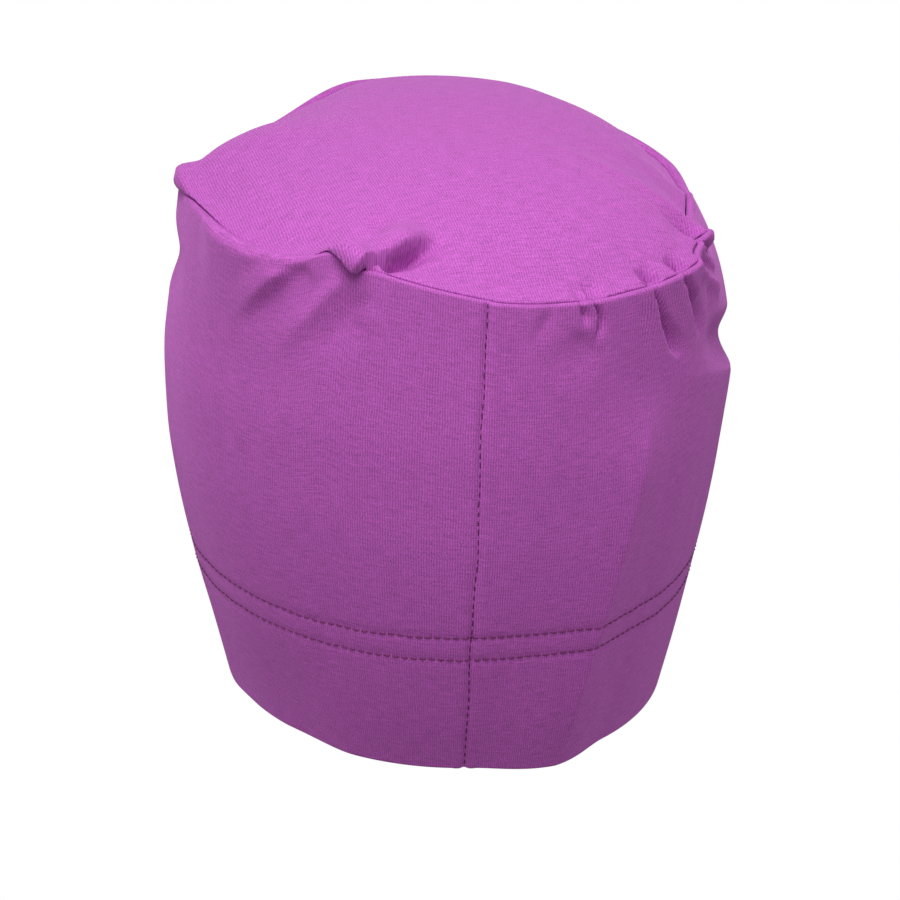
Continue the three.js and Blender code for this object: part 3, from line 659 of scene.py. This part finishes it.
def place(points):
    """From the turban's own upright frame in millimetres to the frame's metres, tilted as worn."""
    tilt = math.radians(WORN_TILT)
    x, y, z = np.moveaxis(np.asarray(points, float), -1, 0)
    turned_y = y * math.cos(tilt) + z * math.sin(tilt)
    turned_z = z * math.cos(tilt) - y * math.sin(tilt)
    return np.stack([x, turned_y, turned_z], -1) / 1000


def mesh_object(name, vertices, faces, uvs=None):
    """A mesh from arrays, with its knit coordinates in millimetres."""
    mesh = bpy.data.meshes.new(name)
    mesh.from_pydata(place(vertices), [], faces)
    if uvs is not None:
        mesh.uv_layers.new(name="knit").data.foreach_set("uv", np.asarray(uvs, np.float32).ravel())
    mesh.polygons.foreach_set("use_smooth", [True] * len(mesh.polygons))
    mesh.update()
    piece = bpy.data.objects.new(name, mesh)
    bpy.context.scene.collection.objects.link(piece)
    return piece


def cloth_object(name, face, uv, inner_step, period=0.0, middle=None):
    """Cloth of even thickness from the grid of its face. Its inside has every few rows of the grid.

    A section runs along the face and back along the inside. With a middle point the grid is a dome
    that closes there, and otherwise it is a ring whose section closes on itself.
    """
    columns, rows = face.shape[:2]
    kept = np.unique(np.concatenate([np.arange(0, rows, inner_step), [rows - 1]]))
    inside = (face - CLOTH * normals(face))[:, kept]
    sections = np.concatenate([face, inside[:, ::-1]], 1)
    coordinates = np.concatenate([uv, uv[:, kept][:, ::-1]], 1)
    if middle is not None:
        turned = len(kept)
        sections = np.roll(sections, turned, 1)
        coordinates = np.roll(coordinates, turned, 1)
    count = sections.shape[1]
    ring = np.arange(columns)
    beside = (ring + 1) % columns
    row = np.arange(count if middle is None else count - 1)
    above = (row + 1) % count

    def corner(column, line):
        return column[:, None] * count + line[None, :]

    quads = np.stack([
        corner(ring, row), corner(beside, row), corner(beside, above), corner(ring, above),
    ], -1)
    wrapped = coordinates[beside].copy()
    wrapped[-1, :, 0] += period
    uvs = np.stack([coordinates[:, row], wrapped[:, row], wrapped[:, above], coordinates[:, above]], 2)
    vertices = sections.reshape(-1, 3)
    faces = quads.reshape(-1, 4).tolist()
    uvs = uvs.reshape(-1, 2)
    if middle is not None:
        top = len(vertices)
        under = top + 1
        vertices = np.concatenate([vertices, [middle, middle - (0, 0, CLOTH)]])
        last = count - 1
        faces += [[i * count + last, j * count + last, top] for i, j in zip(ring, beside)]
        faces += [[j * count, i * count, under] for i, j in zip(ring, beside)]
        point_uv = knit_plan(middle[None])[0]
        uvs = np.concatenate([uvs] + [
            np.array((coordinates[i, last], coordinates[j, last], point_uv))
            for i, j in zip(ring, beside)
        ] + [
            np.array((coordinates[j, 0], coordinates[i, 0], point_uv))
            for i, j in zip(ring, beside)
        ])
    return mesh_object(name, vertices, faces, uvs)


def knit_plan(points):
    """Knit coordinates of the crown, laid flat."""
    grain = math.radians(CROWN_GRAIN)
    x = points[..., 0]
    y = points[..., 1]
    across = x * math.cos(grain) + y * math.sin(grain)
    along = y * math.cos(grain) - x * math.sin(grain)
    return np.stack([across, along], -1)


def side_panel():
    """The strip round the head, with its knit running up from the hem."""
    turn = steps(COLUMNS)
    face = side_panel_face(turn, wall_shares())
    length = np.linalg.norm(np.diff(face, axis=1), axis=-1).mean(0)
    along = np.concatenate([[0], np.cumsum(length)])
    uv = np.stack(np.broadcast_arrays(turn[:, None] * MM_PER_DEGREE, along[None, :]), -1)
    return cloth_object("side_panel_cloth", face, uv, 3, period=360 * MM_PER_DEGREE)


def crown_panel():
    """The round top panel."""
    face = crown_face(steps(COLUMNS))
    middle = np.array((0, 0, dome_plane(np.zeros(2)) + DOME_RISE))
    return cloth_object("crown_panel_cloth", face, knit_plan(face), 3, middle=middle)


def node_tree(name):
    """A new material, with its nodes and links."""
    material = bpy.data.materials.new(name)
    material.use_nodes = True
    return material, material.node_tree.nodes, material.node_tree.links


def math_node(nodes, links, operation, first, second=None, third=None):
    """A maths node; each input is a number or another node's output."""
    node = nodes.new("ShaderNodeMath")
    node.operation = operation
    for socket, value in zip(node.inputs, (first, second, third)):
        if value is None:
            continue
        if isinstance(value, (int, float)):
            socket.default_value = value
        else:
            links.new(value, socket)
    return node.outputs[0]


def jersey():
    """Fine jersey: ridges of knit along v, rows of loops across them, and uneven, fluffy yarn."""
    material, nodes, links = node_tree("jersey")
    shader = nodes["Principled BSDF"]
    uv = nodes.new("ShaderNodeUVMap")
    uv.uv_map = "knit"
    split = nodes.new("ShaderNodeSeparateXYZ")
    links.new(uv.outputs[0], split.inputs[0])

    def maths(*values):
        return math_node(nodes, links, *values)

    def noise(scale_u, scale_v, detail):
        mapping = nodes.new("ShaderNodeMapping")
        mapping.inputs["Scale"].default_value = (scale_u, scale_v, 1)
        links.new(uv.outputs[0], mapping.inputs["Vector"])
        texture = nodes.new("ShaderNodeTexNoise")
        texture.inputs["Scale"].default_value = 1.0
        texture.inputs["Detail"].default_value = detail
        links.new(mapping.outputs[0], texture.inputs["Vector"])
        return texture.outputs["Fac"]

    features = {row["name"]: noise(row["u"], row["v"], row["detail"]) for row in KNIT_NOISE}
    u = split.outputs[0]
    for name, distance in WALE_WANDER.items():
        u = maths("MULTIPLY_ADD", features[name], distance, u)
    wale = maths("MULTIPLY", u, 2 * math.pi / WALE)
    features["ridge"] = maths("MULTIPLY_ADD", maths("COSINE", wale), 0.5, 0.5)
    chevron = maths("ABSOLUTE", maths("SINE", maths("MULTIPLY", wale, 0.5)))
    loop_phase = maths("ADD", maths("MULTIPLY", split.outputs[1], 2 * math.pi / COURSE),
                       maths("MULTIPLY", chevron, LOOP_LEAN))
    features["loop"] = maths("MULTIPLY_ADD", maths("SINE", loop_phase), 0.5, 0.5)
    loops = maths("MULTIPLY", features["loop"], KNIT_RELIEF["loop"])
    height = maths("MULTIPLY_ADD", features["ridge"], KNIT_RELIEF["ridge"], loops)
    shade = DARKEST
    for name, share in KNIT_SHADE.items():
        shade = maths("MULTIPLY_ADD", features[name], share, shade)
    colour = nodes.new("ShaderNodeMix")
    colour.data_type = "RGBA"
    colour.inputs["A"].default_value = (0.0, 0.0, 0.0, 1)
    colour.inputs["B"].default_value = JERSEY_COLOUR
    colour.clamp_factor = False
    links.new(shade, colour.inputs["Factor"])
    links.new(colour.outputs["Result"], shader.inputs["Base Color"])
    bump_node = nodes.new("ShaderNodeBump")
    bump_node.inputs["Strength"].default_value = KNIT_RELIEF["strength"]
    bump_node.inputs["Distance"].default_value = KNIT_RELIEF["metres"]
    links.new(height, bump_node.inputs["Height"])
    links.new(bump_node.outputs[0], shader.inputs["Normal"])
    shader.inputs["Roughness"].default_value = 0.82
    shader.inputs["Specular IOR Level"].default_value = 0.28
    shader.inputs["Sheen Weight"].default_value = 0.4
    shader.inputs["Sheen Roughness"].default_value = 0.3
    shader.inputs["Sheen Tint"].default_value = SHEEN_COLOUR
    return material


def thread(name, dark, light):
    """Twisted sewing thread, slightly glossy, between two colours."""
    material, nodes, links = node_tree(name)
    shader = nodes["Principled BSDF"]
    where = nodes.new("ShaderNodeTexCoord")
    texture = nodes.new("ShaderNodeTexNoise")
    texture.inputs["Scale"].default_value = TWIST
    links.new(where.outputs["Object"], texture.inputs["Vector"])
    colour = nodes.new("ShaderNodeMix")
    colour.data_type = "RGBA"
    colour.inputs["A"].default_value = dark
    colour.inputs["B"].default_value = light
    links.new(texture.outputs["Fac"], colour.inputs["Factor"])
    links.new(colour.outputs["Result"], shader.inputs["Base Color"])
    shader.inputs["Roughness"].default_value = 0.7
    shader.inputs["Specular IOR Level"].default_value = 0.2
    return material


def tube_faces(lines, corners):
    """Quads round a tube of rings of corners, and a face at either end."""
    faces = []
    for line in range(lines - 1):
        here = line * corners
        above = here + corners
        for k in range(corners):
            beside = (k + 1) % corners
            faces.append([here + k, here + beside, above + beside, above + k])
    faces.append(list(range(corners))[::-1])
    faces.append([(lines - 1) * corners + k for k in range(corners)])
    return faces


def tube_arrays(centres, normal, radius, sides=6):
    """A closed tube with rounded ends round a line of points, with the cloth's normals there."""
    along = np.gradient(centres, axis=0)
    along /= np.linalg.norm(along, axis=-1, keepdims=True)
    across = np.cross(along, normal)
    across /= np.linalg.norm(across, axis=-1, keepdims=True)
    up = np.cross(across, along)
    angle = np.arange(sides) * 2 * np.pi / sides
    count = len(centres)
    taper = np.sin(np.pi * (np.arange(count) + 0.6) / (count + 0.2)) ** 0.4
    ring = across[:, None] * np.cos(angle)[None, :, None] + up[:, None] * np.sin(angle)[None, :, None]
    vertices = (centres[:, None] + ring * (radius * taper)[:, None, None]).reshape(-1, 3)
    return vertices, tube_faces(count, sides)


def join_tubes(name, tubes):
    """One mesh of many tubes."""
    all_vertices = []
    all_faces = []
    start = 0
    for vertices, faces in tubes:
        all_vertices.append(vertices)
        all_faces += [[start + k for k in face] for face in faces]
        start += len(vertices)
    return mesh_object(name, np.concatenate(all_vertices), all_faces)


class WallSurface:
    """Finds points on the side panel's outer face by turn and height."""

    def __init__(self):
        self.turn = steps(COLUMNS)
        self.grid = stitched(wall_face(self.turn, wall_shares(), seam_ring(self.turn)), self.turn)
        self.normal = normals(self.grid)

    def line(self, turns, heights):
        """Points and normals of the face along a line of turns and heights."""
        found = np.array([self.at(turn, height) for turn, height in zip(turns, heights)])
        return found[:, 0], found[:, 1]

    def at(self, turn, height):
        """The point and normal of the face at one turn and height."""
        turn = (turn - self.turn[0]) % 360 + self.turn[0]
        i = np.searchsorted(self.turn, turn) - 1
        j = (i + 1) % len(self.turn)
        end = self.turn[j] + (360 if j == 0 else 0)
        part = (turn - self.turn[i]) / (end - self.turn[i])
        column = self.grid[i] * (1 - part) + self.grid[j] * part
        normal = self.normal[i] * (1 - part) + self.normal[j] * part
        point = np.array([np.interp(height, column[:, 2], column[:, k]) for k in range(3)])
        direction = np.array([np.interp(height, column[:, 2], normal[:, k]) for k in range(3)])
        return point, direction / np.linalg.norm(direction)


def stitch(surface, start, end, kind, lines=7):
    """One stitch between two needle holes, each a turn and a height."""
    shares = np.linspace(0, 1, lines)
    turns = start[0] + (end[0] - start[0]) * shares
    heights = start[1] + (end[1] - start[1]) * shares
    points, normal = surface.line(turns, heights)
    rise = -kind["dips"] + (kind["stands"] + kind["dips"]) * np.sin(np.pi * shares) ** 0.5
    return tube_arrays(points + normal * rise[:, None], normal, kind["radius"])


def hem_stitches(surface):
    """Two rows of straight stitches that hold the turned-up hem."""
    rng = np.random.default_rng(7)
    pitch = STITCH_PITCH / MM_PER_DEGREE
    count = round(360 / pitch)
    tubes = []
    for row, height in enumerate(STITCH_ROWS):
        turns = (np.arange(count + 1) - ROW_OFFSET * row) * 360 / count
        wander = HEM_ROWS["waver"] * np.sin(np.radians(turns) * HEM_ROWS["waves"] + row)
        wander += rng.normal(0, HEM_ROWS["scatter"], count + 1)
        wander[-1] = wander[0]
        hole = HEM_ROWS["hole"] * pitch
        for i in range(count):
            start = (turns[i] + hole, height + wander[i])
            end = (turns[i + 1] - hole, height + wander[i + 1])
            tubes.append(stitch(surface, start, end, HEM_THREAD))
    return join_tubes("hem_stitches", tubes)


def back_seam_thread(surface):
    """The thread that shows as dashes where the centre-back seam is drawn open."""
    rng = np.random.default_rng(11)
    tubes = []
    height = BACK_DASHES["foot"]
    while height < BACK_DASHES["top"]:
        top = height + STITCH_PITCH * rng.uniform(BACK_DASHES["shortest"], BACK_DASHES["longest"])
        start = (back_seam_turn(height) + rng.normal(0, BACK_DASHES["scatter"]), height)
        end = (back_seam_turn(top) + rng.normal(0, BACK_DASHES["scatter"]), top)
        tubes.append(stitch(surface, start, end, SEAM_THREAD))
        height += STITCH_PITCH
    return join_tubes("back_seam_thread", tubes)


def allowance_strip(surface, lines=48, columns=9):
    """The centre-back seam's two edges inside, turned to one side."""
    turns = np.linspace(INNER_STRIP["start"], INNER_STRIP["end"], columns)
    sections = []
    for height in np.linspace(INNER_STRIP["foot"], INNER_STRIP["top"], lines):
        points, normal = surface.line(turns, [height] * columns)
        wave = INNER_STRIP["wave"] * np.sin(height / 2.1 + turns * 0.8)
        outer = points - normal * (CLOTH + GAP)
        inner = points - normal * (CLOTH + GAP + INNER_STRIP["thickness"] + wave)[:, None]
        sections.append(np.concatenate([outer, inner[::-1]]))
    vertices = np.concatenate(sections)
    faces = tube_faces(lines, 2 * columns)
    uvs = [(vertices[k][0], vertices[k][2]) for face in faces for k in face]
    return mesh_object("back_seam_allowance_cloth", vertices, faces, uvs)


def floor():
    """A pale floor far below, as the turban is held at the height of a head."""
    bpy.ops.mesh.primitive_circle_add(
        vertices=128, radius=FLOOR["radius"], fill_type="NGON", location=(0, 0, FLOOR["height"]))
    piece = bpy.context.object
    piece.name = "floor"
    material, nodes, links = node_tree("floor")
    nodes["Principled BSDF"].inputs["Base Color"].default_value = (*[FLOOR["grey"]] * 3, 1)
    nodes["Principled BSDF"].inputs["Roughness"].default_value = 0.9
    piece.data.materials.append(material)


def camera():
    """Looks at the turban's back from a little above, its right side a touch lower."""
    azimuth = math.radians(CAMERA["azimuth"])
    elevation = math.radians(CAMERA["elevation"])
    roll = math.radians(CAMERA["roll"])
    back = Vector((math.sin(azimuth) * math.cos(elevation), -math.cos(azimuth) * math.cos(elevation),
                   math.sin(elevation)))
    right = (-back).cross(Vector((0, 0, 1))).normalized()
    up = right.cross(-back)
    rolled_right = right * math.cos(roll) + up * math.sin(roll)
    rolled_up = up * math.cos(roll) - right * math.sin(roll)
    tilt = Matrix.Rotation(-math.radians(WORN_TILT), 3, "X")
    turned = [tilt @ axis for axis in (rolled_right, rolled_up, back)]
    data = bpy.data.cameras.new("camera")
    data.sensor_width = SENSOR
    data.lens = PIXELS_PER_MM * CAMERA["distance"] * SENSOR / PICTURE
    piece = bpy.data.objects.new("camera", data)
    bpy.context.scene.collection.objects.link(piece)
    rotation = Matrix(turned).transposed().to_4x4()
    place_at = Vector(place(CAMERA["target"])) + turned[2] * CAMERA["distance"] / 1000
    piece.matrix_world = Matrix.Translation(place_at) @ rotation
    bpy.context.scene.camera = piece


def area_light(name, energy, size, azimuth, elevation, distance, target):
    """A square light that faces its target."""
    azimuth = math.radians(azimuth)
    elevation = math.radians(elevation)
    away = Vector((-math.sin(azimuth) * math.cos(elevation), math.cos(azimuth) * math.cos(elevation),
                   math.sin(elevation)))
    data = bpy.data.lights.new(name, "AREA")
    data.energy = energy
    data.size = size
    piece = bpy.data.objects.new(name, data)
    piece.location = Vector(target) + away * distance
    piece.rotation_euler = (-away).to_track_quat("-Z", "Y").to_euler()
    bpy.context.scene.collection.objects.link(piece)


def studio():
    """Soft lights from high behind, the front and both sides, in a surround that is dimmer below."""
    for light in LIGHTS:
        area_light(**light)
    world = bpy.data.worlds.new("surround")
    bpy.context.scene.world = world
    world.use_nodes = True
    nodes = world.node_tree.nodes
    links = world.node_tree.links
    background = nodes["Background"]
    background.inputs["Color"].default_value = (1, 1, 1, 1)
    where = nodes.new("ShaderNodeTexCoord")
    split = nodes.new("ShaderNodeSeparateXYZ")
    links.new(where.outputs["Generated"], split.inputs[0])
    surround = nodes.new("ShaderNodeMapRange")
    surround.inputs["From Min"].default_value = SURROUND["lowest"]
    surround.inputs["From Max"].default_value = SURROUND["highest"]
    surround.inputs["To Min"].default_value = SURROUND["below"]
    surround.inputs["To Max"].default_value = SURROUND["above"]
    links.new(split.outputs["Z"], surround.inputs["Value"])
    path = nodes.new("ShaderNodeLightPath")
    strength = nodes.new("ShaderNodeMix")
    links.new(path.outputs["Is Camera Ray"], strength.inputs["Factor"])
    links.new(surround.outputs[0], strength.inputs["A"])
    strength.inputs["B"].default_value = 1.0
    links.new(strength.outputs["Result"], background.inputs["Strength"])
    bpy.context.scene.view_settings.view_transform = "Standard"


camera()
floor()
studio()

jersey_material = jersey()
hem_thread, seam_thread = (thread(**colours) for colours in THREAD_COLOURS)
wall_surface = WallSurface()
pieces = [
    (side_panel(), jersey_material, "jersey", ["side_panel"]),
    (crown_panel(), jersey_material, "jersey", ["crown_panel"]),
    (allowance_strip(wall_surface), jersey_material, "jersey", ["back_seam_allowance"]),
    (hem_stitches(wall_surface), hem_thread, "thread", []),
    (back_seam_thread(wall_surface), seam_thread, "thread", []),
]
for piece, material, slot, nodes_replaced in pieces:
    piece.data.materials.append(material)
    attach(piece, "root")
    if nodes_replaced:
        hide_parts(*nodes_replaced)
